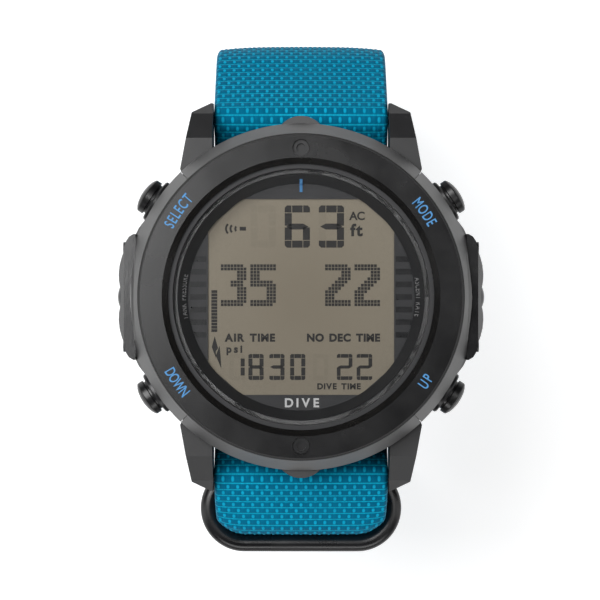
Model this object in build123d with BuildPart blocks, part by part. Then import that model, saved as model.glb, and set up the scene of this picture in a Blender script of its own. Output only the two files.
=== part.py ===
"""Wrist dive computer: screwed case, four push buttons, woven strap with ring, buckle and keepers.

Frame: dial faces +Z, 12 o'clock is +Y, 3 o'clock is +X, and the closed strap stands on z = 0.
"""

from build123d import *
import math
import os

os.makedirs("parts", exist_ok=True)


def write(piece, name):
    """Label a finished piece and write it as one STEP file."""
    piece.label = name
    export_step(piece, f"parts/{name}.step")


# ---------------------------------------------------------------- driving dimensions (mm)
# case, seen from the front: radii about the dial's axis
case_r = 23.35            # outside of the skirt
core_r = 21.75            # case body under the bezel
bezel_r = 21.7
bezel_flat_inner_r = 18.5
bezel_inner_r = 17.75
cavity_r = 16.6
crystal_r = 17.1
window_r = 15.3           # inside of the flange ring

# case heights above the surface that the strap stands on
back_z = 50.0
case_low_z = 50.4
back_top_z = 51.6
seat_z = 62.6             # seat of the crystal
deck_z = 63.6             # seat of the bezel
skirt_low_z = 61.6
skirt_top_z = 65.2
bezel_top_z = 66.0

# lug frames
lug_span = 44.0           # half angle of each skirt arc, degrees
lap_span = 1.2            # the case reaches this far under each end of the arc, degrees
lap_z = 56.0              # top of that lap
lug_gap_half = 12.0
slot_half = 12.1
seam = 0.04               # gap left at each split line

# buttons
button_z = 57.5
button_angle = 33.5       # above and below the 3 to 9 o'clock line, degrees
button_travel = 0.9
spring_floor = 21.9       # bottom of the spring's well, from the dial's axis
cap_start = spring_floor + button_travel + 0.15
stem_r = 0.95
cap_r = 2.45
collar_r = 3.0
shank_r = 1.9

# strap, pins and hardware
strap_t = 1.3
strap_half = 11.7
pin_y = 24.6
pin_z = 53.0
pin_r = 0.9
hardware_half = 14.2      # half width of ring, buckle and keepers
ring_y = -29.8
ring_z = 45.0
ring_half_y = 6.2
ring_bar_r = 1.25
near_bar_y = -6.0         # bar that the buckle turns on
near_bar_z = 5.9
near_bar_r = 1.0


# ---------------------------------------------------------------- shared shapes
def sector(half_angle, side):
    """Corners of a sector from the dial's axis, centred on +Y (side 1) or -Y (side -1)."""
    reach = 40
    x = reach * math.sin(math.radians(half_angle))
    y = reach * math.cos(math.radians(half_angle))
    return [(0, 0), (x, side * y), (0, side * 2 * reach), (-x, side * y)]


def wedge(inner_r, half_angle, side):
    """Sector outside a circle in the current sketch."""
    Polygon(*sector(half_angle, side), align=None)
    Circle(inner_r, mode=Mode.SUBTRACT)


def strap_slot(side, mode=Mode.SUBTRACT):
    """Cut the way of the strap through the underside of the case at 12 (1) or 6 o'clock (-1)."""
    with BuildSketch(Plane.YZ) as slot:
        Polygon(
            (side * 17.5, 49), (side * 17.5, back_z), (side * 20.5, 53), (side * 20.5, 56.5),
            (side * 32, 56.5), (side * 32, 49), align=None,
        )
    extrude(slot.sketch, amount=slot_half, both=True, mode=mode)


def case_profile(inner_r):
    """Half section of the case wall, from the underside to the skirt."""
    Polygon(
        (inner_r, case_low_z), (20.6, case_low_z), (23.0, 53.0), (case_r, 56.0),
        (case_r, skirt_low_z), (core_r + 0.03, skirt_top_z), (core_r + 0.03, deck_z),
        (bezel_inner_r, deck_z), (bezel_inner_r, seat_z), (inner_r, seat_z), align=None,
    )


def button_plane(angle):
    """Plane at the dial's axis that looks out along a button's axis."""
    a = math.radians(angle)
    return Plane(
        origin=(0, 0, button_z), x_dir=(0, 0, 1), z_dir=(math.cos(a), math.sin(a), 0)
    )


def bar_along(plane, start, end, radius, mode=Mode.ADD):
    """Round bar on a plane's own axis, from one distance along it to another."""
    with BuildSketch(plane.offset(start)) as section:
        Circle(radius)
    extrude(section.sketch, amount=end - start, mode=mode)


def turned_along(plane, outline, mode=Mode.ADD):
    """Solid turned about a plane's own axis from points (distance along the axis, radius)."""
    side = Plane(origin=plane.origin, x_dir=plane.z_dir, z_dir=plane.x_dir)
    with BuildSketch(side) as section:
        Polygon(*outline, align=None)
    revolve(section.sketch, axis=Axis(plane.origin, plane.z_dir), mode=mode)


def octagon(half_x, half_y, cut_x, cut_y):
    """Rectangle with its corners cut off, in the current sketch."""
    corners = [
        (cut_x, half_y), (half_x, cut_y), (half_x, -cut_y), (cut_x, -half_y),
        (-cut_x, -half_y), (-half_x, -cut_y), (-half_x, cut_y), (-cut_x, half_y),
    ]
    Polygon(*corners, align=None)


buttons = {
    "select": 180 - button_angle,
    "mode": button_angle,
    "down": 180 + button_angle,
    "up": -button_angle,
}

side_outline = [(22.3, 8.5), (22.25, 7.0), (22.45, 5.2), (22.75, 3.0), (22.95, 1.2), (23.0, 0)]
cover_outline = [
    (24.4, 0), (24.45, 0.9), (24.7, 2.2), (24.75, 3.1), (24.6, 4.3), (24.25, 5.4), (24.0, 5.95),
    (23.75, 7.2), (23.5, 7.7), (23.2, 8.15), (22.6, 8.5),
]
cover_screw_y = 6.6
cover_screw_z = 57.2
cover_low_z = 53.2
cover_top_z = 60.8
pad_r = 3.2               # radius of the domed pad in the middle of each cover
pad_z = 57.0


def mirrored(points):
    """Upper half of a side outline, followed by its lower half."""
    return points + [(x, -y) for x, y in reversed(points) if y > 0]


# ---------------------------------------------------------------- case
with BuildPart() as mid_case:
    with BuildSketch(Plane.XZ):
        cone_r = core_r + 0.03
        slope = (skirt_top_z - skirt_low_z) / (case_r - cone_r)
        Polygon(
            (cavity_r, case_low_z), (20.6, case_low_z), (22.7, 52.6), (25, 52.6),
            (25, skirt_top_z - slope * (25 - cone_r)), (cone_r, skirt_top_z), (cone_r, deck_z),
            (bezel_inner_r, deck_z), (bezel_inner_r, seat_z), (cavity_r, seat_z), align=None,
        )
    revolve(axis=Axis.Z)
    # round outline with shoulders that carry the side covers
    with BuildSketch(Plane.XY.offset(49)):
        Circle(case_r)
        for side in (1, -1):
            shoulder = mirrored([(10, 9), (20.4, 11.1), (21.9, 9.3)] + side_outline)
            Polygon(*[(side * x, y) for x, y in shoulder], align=None)
    extrude(amount=18, mode=Mode.INTERSECT)
    # hollow between the bezel and each cover, which runs out at both ends
    for side in (1, -1):
        bar_along(Plane(origin=(side * 23.35, 0, 62.95), z_dir=(0, 1, 0)), -9, 9, 1.25,
                  mode=Mode.SUBTRACT)
    # seats of the side covers
    for side in (1, -1):
        with BuildSketch(Plane.XY.offset(53.1)):
            seat = mirrored(side_outline) + [(30, -8.5), (30, 8.5)]
            Polygon(*[(side * x, y) for x, y in seat], align=None)
        extrude(amount=14, mode=Mode.SUBTRACT)
    # room for the lug frames and their tabs
    for side in (1, -1):
        with BuildSketch(Plane.XY.offset(lap_z)):
            wedge(core_r, lug_span, side)
        extrude(amount=11, mode=Mode.SUBTRACT)
        with BuildSketch(Plane.XY.offset(49)):
            wedge(core_r, lug_span - lap_span, side)
        extrude(amount=lap_z - 49, mode=Mode.SUBTRACT)
        with BuildSketch(Plane.XY.offset(deck_z - 1.2)):
            with Locations((0, side * 20.2)):
                Rectangle(7.1, 3.7)
        extrude(amount=2, mode=Mode.SUBTRACT)
        strap_slot(side)
    # recess of the case back and groove of its seal
    with BuildSketch(Plane.XY.offset(case_low_z - 1)):
        Circle(19.3)
        Rectangle(40, 34.8, mode=Mode.INTERSECT)
    extrude(amount=back_top_z - case_low_z + 1, mode=Mode.SUBTRACT)
    with BuildSketch(Plane.XY.offset(back_top_z)):
        Circle(17.65)
    extrude(amount=0.5, mode=Mode.SUBTRACT)
    # threads of the case back screws and of the bezel screws
    with Locations(Plane.XY.offset(back_top_z)):
        with PolarLocations(18.45, 4, start_angle=45):
            Cylinder(0.5, 2.4, align=(Align.CENTER, Align.CENTER, Align.MIN), mode=Mode.SUBTRACT)
    with Locations((0, 19.8, 61.0), (0, -19.8, 61.0)):
        Cylinder(0.6, 3, align=(Align.CENTER, Align.CENTER, Align.MIN), mode=Mode.SUBTRACT)
    # ways of the four buttons, with room for the clip on the inner end of each stem
    for angle in buttons.values():
        out = button_plane(angle)
        bar_along(out, 12, 30, shank_r, mode=Mode.SUBTRACT)
        bar_along(out, 12, 17.9, 2.0, mode=Mode.SUBTRACT)
        bar_along(out, 21.4, 30, collar_r, mode=Mode.SUBTRACT)
    # threads of the side cover screws
    for x in (20.4, -24.4):
        for y in (cover_screw_y, -cover_screw_y):
            bar_along(Plane(origin=(0, y, cover_screw_z), z_dir=(1, 0, 0)), x, x + 4, 0.5,
                      mode=Mode.SUBTRACT)
write(mid_case.part, "mid_case")

for side, name in ((1, "lug_frame_top"), (-1, "lug_frame_bottom")):
    with BuildPart() as lug_frame:
        # skirt arc
        with BuildSketch(Plane.XZ):
            case_profile(20.9)
        revolve(axis=Axis.Z)
        with BuildSketch(Plane.XY.offset(49)):
            wedge(core_r + 0.03, lug_span - 0.15, side)
        extrude(amount=18, mode=Mode.INTERSECT)
        # two lugs: one outline from above, met by one from the side
        with BuildPart(mode=Mode.PRIVATE) as lugs:
            with BuildSketch(Plane.XY.offset(49)):
                lug = [(lug_gap_half, 18.5), (16.15, 16.85), (16.35, 17.3), (14.9, 25.2), (12.1, 26.75),
                       (lug_gap_half, 26.6)]
                Polygon(*[(x, side * y) for x, y in lug], align=None)
                Polygon(*[(-x, side * y) for x, y in lug], align=None)
            extrude(amount=12)
            with BuildSketch(Plane.YZ):
                flank = [(15, 60.2), (21.5, 60.2), (25.0, 57.6), (26.6, 55.2), (26.8, 51.4),
                         (25.6, 49.9), (21.0, 50.2), (15, 51.4)]
                Polygon(*[(side * y, z) for y, z in flank], align=None)
            extrude(amount=20, both=True, mode=Mode.INTERSECT)
        add(lugs.part)
        with BuildSketch(Plane.XY.offset(49)):
            Circle(core_r + 0.03)
        extrude(amount=18, mode=Mode.SUBTRACT)
        # step over the case's lap at both ends of the arc
        with BuildSketch(Plane.XY.offset(49)):
            Circle(case_r + 0.05)
            Polygon(*sector(lug_span - lap_span - 0.15, side), align=None, mode=Mode.SUBTRACT)
        extrude(amount=lap_z + seam - 49, mode=Mode.SUBTRACT)
        strap_slot(side)
        # half-round boss under the skirt, and the tab that the bezel screw clamps
        with BuildSketch(Plane.XY.offset(57.6)):
            with Locations((0, side * 20.9)):
                Circle(3.5)
            with Locations((0, side * 26.6)):
                Rectangle(9, 8.4, mode=Mode.INTERSECT)
        extrude(amount=3.4)
        with BuildSketch(Plane.XY.offset(deck_z - 1.15)):
            with Locations((0, side * 20.35)):
                Rectangle(6.9, 3.3)
            with Locations((0, side * 19.8)):
                Circle(0.65, mode=Mode.SUBTRACT)
        extrude(amount=1.1)
        # bores of the strap pin, with a sink for its screw at each end
        along = Plane(origin=(0, side * pin_y, pin_z), z_dir=(1, 0, 0))
        bar_along(along, -20, 20, pin_r, mode=Mode.SUBTRACT)
        bar_along(along, 14.0, 20, 1.2, mode=Mode.SUBTRACT)
        bar_along(along, -20, -14.0, 1.2, mode=Mode.SUBTRACT)
    write(lug_frame.part, name)

with BuildPart() as case_back:
    with BuildSketch(Plane.XY.offset(back_z)):
        Circle(19.2)
        Rectangle(40, 34.6, mode=Mode.INTERSECT)
    extrude(amount=back_top_z - back_z)
    chamfer(case_back.faces().sort_by(Axis.Z)[0].outer_wire().edges(), length=0.3)
    with Locations(Plane.XY.offset(back_z)):
        with PolarLocations(18.45, 4, start_angle=45):
            Cylinder(0.5, 2, align=(Align.CENTER, Align.CENTER, Align.MIN), mode=Mode.SUBTRACT)
            Cylinder(0.75, 0.8, align=(Align.CENTER, Align.CENTER, Align.MIN), mode=Mode.SUBTRACT)
    # water ports of the pressure sensor
    with Locations((11.6, 5.2, back_z)):
        with PolarLocations(1.5, 3):
            Cylinder(0.4, 2, align=(Align.CENTER, Align.CENTER, Align.MIN), mode=Mode.SUBTRACT)
write(case_back.part, "case_back")

with BuildPart() as case_back_screws:
    with Locations(Plane.XY.offset(back_z + 0.1)):
        with PolarLocations(18.45, 4, start_angle=45):
            Cylinder(0.72, 0.7, align=(Align.CENTER, Align.CENTER, Align.MIN))
    with Locations(Plane.XY.offset(back_z + 0.8)):
        with PolarLocations(18.45, 4, start_angle=45):
            Cylinder(0.48, 3.0, align=(Align.CENTER, Align.CENTER, Align.MIN))
    with Locations(Plane.XY.offset(back_z + 0.1)):
        with PolarLocations(18.45, 4, start_angle=45):
            Box(1.1, 0.3, 0.3, align=(Align.CENTER, Align.CENTER, Align.MIN), mode=Mode.SUBTRACT)
write(case_back_screws.part, "case_back_screws")

with BuildPart() as case_back_gasket:
    with BuildSketch(Plane.XY.offset(back_top_z)):
        Circle(17.6)
        Circle(17.05, mode=Mode.SUBTRACT)
    extrude(amount=0.45)
write(case_back_gasket.part, "case_back_gasket")

# ---------------------------------------------------------------- side covers
with BuildPart() as side_cover:
    with BuildSketch(Plane.XY.offset(cover_low_z)):
        inner = [(x + seam, y) for x, y in side_outline]
        outer = mirrored(list(reversed(cover_outline)))
        back_edge = [(x, -y) for x, y in inner if y > 0] + list(reversed(inner))
        outline = [(-x, y) for x, y in outer + back_edge]
        Polygon(*outline, align=None)
    extrude(amount=cover_top_z - cover_low_z)
    # slanted facet from the top edge out to the widest line
    with BuildSketch(Plane.XZ):
        facet = [(22, cover_low_z), (24.2, cover_low_z), (25.3, 55.2), (25.3, 57.4),
                 (23.9, cover_top_z), (22, cover_top_z)]
        Polygon(*[(-x, z) for x, z in facet], align=None)
    extrude(amount=12, both=True, mode=Mode.INTERSECT)
    # domed pad, and the two curved slits beside it
    with BuildPart(mode=Mode.PRIVATE) as pad:
        with Locations((pad_r - 25.0, 0, pad_z)):
            Sphere(pad_r)
        with Locations((-25.2, 0, pad_z)):
            Box(3.2, 6, 6, mode=Mode.INTERSECT)
    add(pad.part)
    slit_plane = Plane(origin=(-24.0, 0, pad_z), x_dir=(0, 1, 0), z_dir=(-1, 0, 0))
    with BuildSketch(slit_plane) as slits:
        Circle(2.65)
        Circle(2.4, mode=Mode.SUBTRACT)
        Rectangle(1.2, 7, mode=Mode.SUBTRACT)
    extrude(slits.sketch, amount=2, mode=Mode.SUBTRACT)
    for y in (cover_screw_y, -cover_screw_y):
        out = Plane(origin=(0, y, cover_screw_z), z_dir=(-1, 0, 0))
        bar_along(out, 20, 26, 0.52, mode=Mode.SUBTRACT)
        bar_along(out, 23.5, 26, 0.95, mode=Mode.SUBTRACT)
write(side_cover.part, "side_cover_left")
write(mirror(side_cover.part, about=Plane.YZ), "side_cover_right")

with BuildPart() as side_cover_screws:
    for side in (1, -1):
        for y in (cover_screw_y, -cover_screw_y):
            out = Plane(origin=(0, y, cover_screw_z), z_dir=(side, 0, 0))
            bar_along(out, 20.6, 23.5, 0.48)
            bar_along(out, 23.5, 24.2, 0.9)
            bar_along(out, 23.9, 25, 0.4, mode=Mode.SUBTRACT)
write(side_cover_screws.part, "side_cover_screws")

# ---------------------------------------------------------------- bezel and crystal
with BuildPart() as bezel:
    with BuildSketch(Plane.XZ):
        Polygon(
            (bezel_inner_r, deck_z), (bezel_r, deck_z), (bezel_r, bezel_top_z - 0.35),
            (bezel_r - 0.3, bezel_top_z), (bezel_flat_inner_r, bezel_top_z),
            (bezel_inner_r, bezel_top_z - 0.9), align=None,
        )
    revolve(axis=Axis.Z)
    with Locations((0, 19.8, deck_z), (0, -19.8, deck_z)):
        Cylinder(0.65, 4, align=(Align.CENTER, Align.CENTER, Align.MIN), mode=Mode.SUBTRACT)
    with Locations((0, 19.8, deck_z + 1.0), (0, -19.8, deck_z + 1.0)):
        Cylinder(1.13, 4, align=(Align.CENTER, Align.CENTER, Align.MIN), mode=Mode.SUBTRACT)
write(bezel.part, "bezel")

with BuildPart() as bezel_screws:
    with Locations((0, 19.8, deck_z + 1.0), (0, -19.8, deck_z + 1.0)):
        Cylinder(1.08, 0.95, align=(Align.CENTER, Align.CENTER, Align.MIN))
        Cylinder(0.58, 3.4, align=(Align.CENTER, Align.CENTER, Align.MAX))
    with Locations((0, 19.8, deck_z + 1.45), (0, -19.8, deck_z + 1.45)):
        Cylinder(0.62, 0.5, align=(Align.CENTER, Align.CENTER, Align.MIN), mode=Mode.SUBTRACT)
write(bezel_screws.part, "bezel_screws")

with BuildPart() as crystal:
    with BuildSketch(Plane.XY.offset(seat_z)):
        Circle(crystal_r)
    extrude(amount=2.3)
    chamfer(crystal.faces().sort_by(Axis.Z)[-1].outer_wire().edges(), length=0.35)
write(crystal.part, "crystal")

with BuildPart() as crystal_gasket:
    with BuildSketch(Plane.XY.offset(seat_z)):
        Circle(bezel_inner_r - 0.02)
        Circle(crystal_r + 0.02, mode=Mode.SUBTRACT)
    extrude(amount=2.1)
write(crystal_gasket.part, "crystal_gasket")

# ---------------------------------------------------------------- display stack
with BuildPart() as flange_ring:
    with BuildSketch(Plane.XZ):
        Polygon((window_r, 60.9), (16.55, 60.9), (16.55, 62.55), (16.3, 62.3), (window_r, 61.15),
                align=None)
    revolve(axis=Axis.Z)
write(flange_ring.part, "flange_ring")

with BuildPart() as dial_mask:
    with BuildSketch(Plane.XY.offset(60.65)):
        Circle(16.5)
        octagon(12.55, 13.2, 8.0, 9.2)
    extrude(amount=0.22)
    with BuildSketch(Plane.XY.offset(60.5)):
        octagon(12.55, 13.2, 8.0, 9.2)
    extrude(amount=1, mode=Mode.SUBTRACT)
write(dial_mask.part, "dial_mask")

with BuildPart() as lcd_panel:
    with BuildSketch(Plane.XY.offset(58.95)):
        octagon(13.3, 13.9, 8.4, 9.3)
    extrude(amount=1.65)
write(lcd_panel.part, "lcd_panel")

with BuildPart() as lcd_backlight:
    with BuildSketch(Plane.XY.offset(57.95)):
        octagon(12.2, 12.1, 7.6, 8.0)
    extrude(amount=0.9)
write(lcd_backlight.part, "lcd_backlight")

with BuildPart() as lcd_connector:
    with BuildSketch(Plane.XY.offset(57.75)):
        with Locations((0, -13.0)):
            Rectangle(13, 1.2)
    extrude(amount=1.18)
write(lcd_connector.part, "lcd_connector")

battery_x = -3.4
battery_r = 12.25

with BuildPart() as module_frame:
    with BuildSketch(Plane.XY.offset(51.7)):
        Circle(16.35)
        with Locations((battery_x, 0)):
            Circle(12.7, mode=Mode.SUBTRACT)
        with Locations((11.6, 5.2), (11.6, -5.2)):
            Circle(3.1, mode=Mode.SUBTRACT)
    extrude(amount=5.1)
    with BuildSketch(Plane.XY.offset(56.8)):
        Circle(16.35)
        Circle(15.8, mode=Mode.SUBTRACT)
    extrude(amount=2.1)
    for angle in buttons.values():
        bar_along(button_plane(angle), 12, 20, 2.1, mode=Mode.SUBTRACT)
write(module_frame.part, "module_frame")

with BuildPart() as circuit_board:
    with BuildSketch(Plane.XY.offset(56.85)):
        Circle(15.6)
    extrude(amount=0.85)
    # side switches that the stems press
    for angle in buttons.values():
        a = math.radians(angle)
        with Locations(Location((15.7 * math.cos(a), 15.7 * math.sin(a), 57.35), (0, 0, angle))):
            Box(1.5, 1.8, 1.0)
write(circuit_board.part, "circuit_board")

with BuildPart() as battery:
    with BuildSketch(Plane.XY.offset(51.75)):
        with Locations((battery_x, 0)):
            Circle(battery_r)
    extrude(amount=4.9)
    fillet(battery.faces().sort_by(Axis.Z)[0].outer_wire().edges(), radius=0.5)
write(battery.part, "battery")

with BuildPart() as battery_clip:
    with BuildSketch(Plane.XY.offset(52.2)):
        with Locations((battery_x, 0)):
            Circle(12.6)
            Circle(12.3, mode=Mode.SUBTRACT)
        with Locations((battery_x, 20)):
            Rectangle(16, 24, mode=Mode.INTERSECT)
    extrude(amount=4.55)
write(battery_clip.part, "battery_clip")

with BuildPart() as buzzer:
    with Locations((11.6, -5.2, 51.75)):
        Cylinder(3.0, 2.6, align=(Align.CENTER, Align.CENTER, Align.MIN))
        Cylinder(0.6, 2.6, align=(Align.CENTER, Align.CENTER, Align.MIN), mode=Mode.SUBTRACT)
write(buzzer.part, "buzzer")

with BuildPart() as pressure_sensor:
    with Locations((11.6, 5.2, 51.65)):
        Cylinder(3.0, 2.0, align=(Align.CENTER, Align.CENTER, Align.MIN))
        Cylinder(2.1, 3.6, align=(Align.CENTER, Align.CENTER, Align.MIN))
write(pressure_sensor.part, "pressure_sensor")

# ---------------------------------------------------------------- buttons
for name, angle in buttons.items():
    out = button_plane(angle)
    with BuildPart() as pusher:
        bar_along(out, 17.42, 24.3, stem_r)
        # cap with a neck outside its collar and a domed front
        turned_along(out, [
            (cap_start, 0), (cap_start, cap_r), (23.95, cap_r), (24.05, 2.15), (24.25, 2.15),
            (24.35, cap_r), (25.05, cap_r), (25.2, 2.35), (25.45, 1.95), (25.65, 1.4), (25.78, 0.7), (25.8, 0),
        ])
        # hollow of the cap around the spring
        bar_along(out, cap_start, 24.05, 1.75, mode=Mode.SUBTRACT)
        bar_along(out, cap_start - 0.05, 24.3, stem_r)
        # groove of the clip
        bar_along(out, 17.55, 17.8, 1.2, mode=Mode.SUBTRACT)
        bar_along(out, 17.5, 17.85, 0.6)
    write(pusher.part, f"pusher_{name}")

    with BuildPart() as clip:
        bar_along(out, 17.57, 17.78, 1.5)
        bar_along(out, 17.5, 17.9, 0.6, mode=Mode.SUBTRACT)
    write(clip.part, f"pusher_clip_{name}")

    with BuildPart() as spring:
        with BuildLine():
            coil = Helix(pitch=0.48, height=1.88, radius=1.35, center=out.offset(spring_floor + 0.14).origin,
                         direction=out.z_dir)
        with BuildSketch(Plane(origin=coil @ 0, z_dir=coil % 0)):
            Circle(0.11)
        sweep(path=coil, is_frenet=True)
    write(spring.part, f"pusher_spring_{name}")

with BuildPart() as pusher_tubes:
    for angle in buttons.values():
        out = button_plane(angle)
        bar_along(out, 17.92, 21.4, shank_r)
        turned_along(out, [(21.4, 0), (21.4, collar_r), (23.75, collar_r), (23.9, 2.85), (23.9, 0)])
        bar_along(out, spring_floor, 24, cap_r + 0.06, mode=Mode.SUBTRACT)
        bar_along(out, 17, 22, stem_r + 0.05, mode=Mode.SUBTRACT)
        bar_along(out, 19.0, 19.7, 1.5, mode=Mode.SUBTRACT)
        bar_along(out, 20.2, 20.9, 1.5, mode=Mode.SUBTRACT)
write(pusher_tubes.part, "pusher_tubes")

with BuildPart() as pusher_seals:
    for angle in buttons.values():
        out = button_plane(angle)
        for start in (19.05, 20.25):
            bar_along(out, start, start + 0.6, 1.48)
            bar_along(out, start, start + 0.6, stem_r + 0.03, mode=Mode.SUBTRACT)
write(pusher_seals.part, "pusher_seals")

# ---------------------------------------------------------------- strap pins
for side, name in ((1, "strap_pin_top"), (-1, "strap_pin_bottom")):
    along = Plane(origin=(0, side * pin_y, pin_z), z_dir=(1, 0, 0))
    with BuildPart() as strap_pin:
        bar_along(along, -13.5, 13.5, pin_r)
        bar_along(along, 11.4, 13.5, 0.5, mode=Mode.SUBTRACT)
        bar_along(along, -13.5, -11.4, 0.5, mode=Mode.SUBTRACT)
    write(strap_pin.part, name)

with BuildPart() as strap_pin_screws:
    for side in (1, -1):
        for x_side in (1, -1):
            out = Plane(origin=(0, side * pin_y, pin_z), z_dir=(x_side, 0, 0))
            bar_along(out, 11.6, 14.02, 0.48)
            bar_along(out, 14.02, 14.72, 1.15)
            with BuildSketch(out.offset(14.45)):
                Rectangle(0.35, 1.7)
            extrude(amount=1, mode=Mode.SUBTRACT)
write(strap_pin_screws.part, "strap_pin_screws")


# ---------------------------------------------------------------- strap
def wrap_corner(centre, radius, before, after, turn):
    """Corner whose fillet lies on a circle: the runs from before and to after both touch the circle."""
    cy, cz = centre
    lines = []
    for point, way in ((before, turn), (after, -turn)):
        dy, dz = cy - point[0], cz - point[1]
        angle = math.atan2(dz, dy) + way * math.asin(radius / math.hypot(dy, dz))
        lines.append((point, (math.cos(angle), math.sin(angle))))
    (p, d), (q, e) = lines
    s = ((q[0] - p[0]) * e[1] - (q[1] - p[1]) * e[0]) / (d[0] * e[1] - d[1] * e[0])
    return (p[0] + s * d[0], p[1] + s * d[1])


wrap_r = pin_r + 0.15 + strap_t / 2
back_run_z = back_z - 0.15 - strap_t / 2
inner_z = 4.15            # middle of the strap's lower run, inside the tail
tail_z = 2.75
side_y = 36.0 - strap_t / 2
hang_y = -32.5            # middle of the strap where it runs through the end ring
keeper_y = 6.6
slider_y = 15.4

corner_bottom = wrap_corner((-pin_y, pin_z), wrap_r, (-31.6, 50.6), (-17.9, back_run_z), 1)
corner_top = wrap_corner((pin_y, pin_z), wrap_r, (17.9, back_run_z), (32.0, 48.0), 1)

strap_route = [
    ((21.0, tail_z), 0), ((-6.5, tail_z), 40), ((-15.5, 3.4), 30), ((-24.5, 5.2), 12),
    ((-32.8, 17.0), 18), ((hang_y, 38.0), 60), ((hang_y, 49.9), 3.2), (corner_bottom, wrap_r),
    ((-17.9, back_run_z), 4), ((17.9, back_run_z), 4), (corner_top, wrap_r),
    ((side_y, 43.0), 11), ((side_y, 15.5), 20), ((26.5, inner_z), 13),
    ((near_bar_y - 1.75, inner_z), 1.6), ((near_bar_y - 1.75, near_bar_z + 1.75), 1.6),
    ((-3.4, near_bar_z + 1.75), 2), ((-1.0, 5.55), 2), ((2.6, 5.55), 2), ((4.8, 7.7), 2),
    ((8.6, 7.7), 2), ((10.6, 5.55), 2), ((12.2, 5.55), 0),
]

hole_pitch = 6.5
hole_y = [-11.0 + hole_pitch * k for k in range(1, 5)]

with BuildPart() as strap_main:
    with BuildSketch(Plane.YZ):
        with BuildLine():
            FilletPolyline(*[p for p, r in strap_route], radius=[r for p, r in strap_route[1:-1]])
        trace(line_width=strap_t)
    extrude(amount=strap_half, both=True)
    # pointed tip of the tail
    with BuildSketch(Plane.XY.offset(1)):
        Polygon((strap_half + 1, 16.5), (strap_half + 1, 22), (3.5, 22), (9, 19.6), align=None)
        Polygon((-strap_half - 1, 16.5), (-strap_half - 1, 22), (-3.5, 22), (-9, 19.6), align=None)
    extrude(amount=2.45, mode=Mode.SUBTRACT)
    # tongue holes, a long one where the tongue goes through
    with BuildSketch(Plane.XY.offset(1)):
        with Locations(*[(0, y) for y in hole_y]):
            SlotOverall(4.4, 2.6, rotation=90)
        with Locations((0, -10.9)):
            SlotOverall(8.2, 3.4, rotation=90)
    extrude(amount=2.45, mode=Mode.SUBTRACT)
    with BuildSketch(Plane.XY.offset(1)):
        with Locations((0, -11.6)):
            SlotOverall(6.8, 3.4, rotation=90)
    extrude(amount=4.5, mode=Mode.SUBTRACT)
    # slot in the loop around the buckle's bar, for the hub of the tongue
    with BuildSketch(Plane.XY.offset(3.45)):
        with Locations((0, near_bar_y)):
            Rectangle(4.4, 6.0)
    extrude(amount=7, mode=Mode.SUBTRACT)
    # edges drawn in where the round ends of the ring pass
    for side in (1, -1):
        with BuildSketch(Plane.XZ.offset(30)):
            with Locations((side * 10.6, ring_z - 0.4)):
                Rectangle(4.2, 6.2)
        extrude(amount=5, mode=Mode.SUBTRACT)
write(strap_main.part, "strap_main")

under_z = back_run_z - strap_t - 0.15
ring_near_y = ring_y + ring_half_y - ring_bar_r
loop_h = ring_bar_r + 0.15 + strap_t / 2
under_route = [
    ((side_y - 1.4, 33.0), 0), ((side_y - 1.4, 40.5), 9), ((20.0, under_z), 14),
    ((-18.5, under_z), 20), ((ring_near_y - loop_h, ring_z + loop_h), 1.9),
    ((ring_near_y - loop_h, ring_z - loop_h), 1.9), ((-23.3, ring_z - loop_h), 1.5),
    ((-18.5, under_z - 1.4), 3), ((-11.0, under_z - 1.4), 0),
]

with BuildPart() as strap_underlay:
    with BuildSketch(Plane.YZ):
        with BuildLine():
            FilletPolyline(*[p for p, r in under_route], radius=[r for p, r in under_route[1:-1]])
        trace(line_width=strap_t)
    extrude(amount=strap_half, both=True)
    # the loop is narrower, to clear the round ends of the ring
    for side in (1, -1):
        with BuildSketch(Plane.XY.offset(40)):
            with Locations((side * 11.0, -25.4)):
                Rectangle(6.4, 9.4)
        extrude(amount=8.6, mode=Mode.SUBTRACT)
write(strap_underlay.part, "strap_underlay")

# ---------------------------------------------------------------- strap hardware
with BuildPart() as end_ring:
    with BuildLine(Plane.XY.offset(ring_z)):
        bend_r = ring_half_y - ring_bar_r
        reach = hardware_half - ring_half_y
        far = Line((-reach, ring_y - bend_r), (reach, ring_y - bend_r))
        right = ThreePointArc(far @ 1, (reach + bend_r, ring_y), (reach, ring_y + bend_r))
        near = Line(right @ 1, (-reach, ring_y + bend_r))
        ThreePointArc(near @ 1, (-reach - bend_r, ring_y), far @ 0)
    with BuildSketch(Plane(origin=far @ 0, z_dir=far % 0)):
        Circle(ring_bar_r)
    sweep()
write(end_ring.part, "end_ring")

frame_reach = 10.4        # near bar to the middle of the far bar
far_bar_depth = 1.29       # middle of the far bar above the surface that it rests on
tilt = math.asin((near_bar_z - far_bar_depth) / frame_reach)
frame_plane = Plane(
    origin=(0, near_bar_y, near_bar_z),
    x_dir=(1, 0, 0),
    z_dir=(0, math.sin(tilt), -math.cos(tilt)),
)

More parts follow.
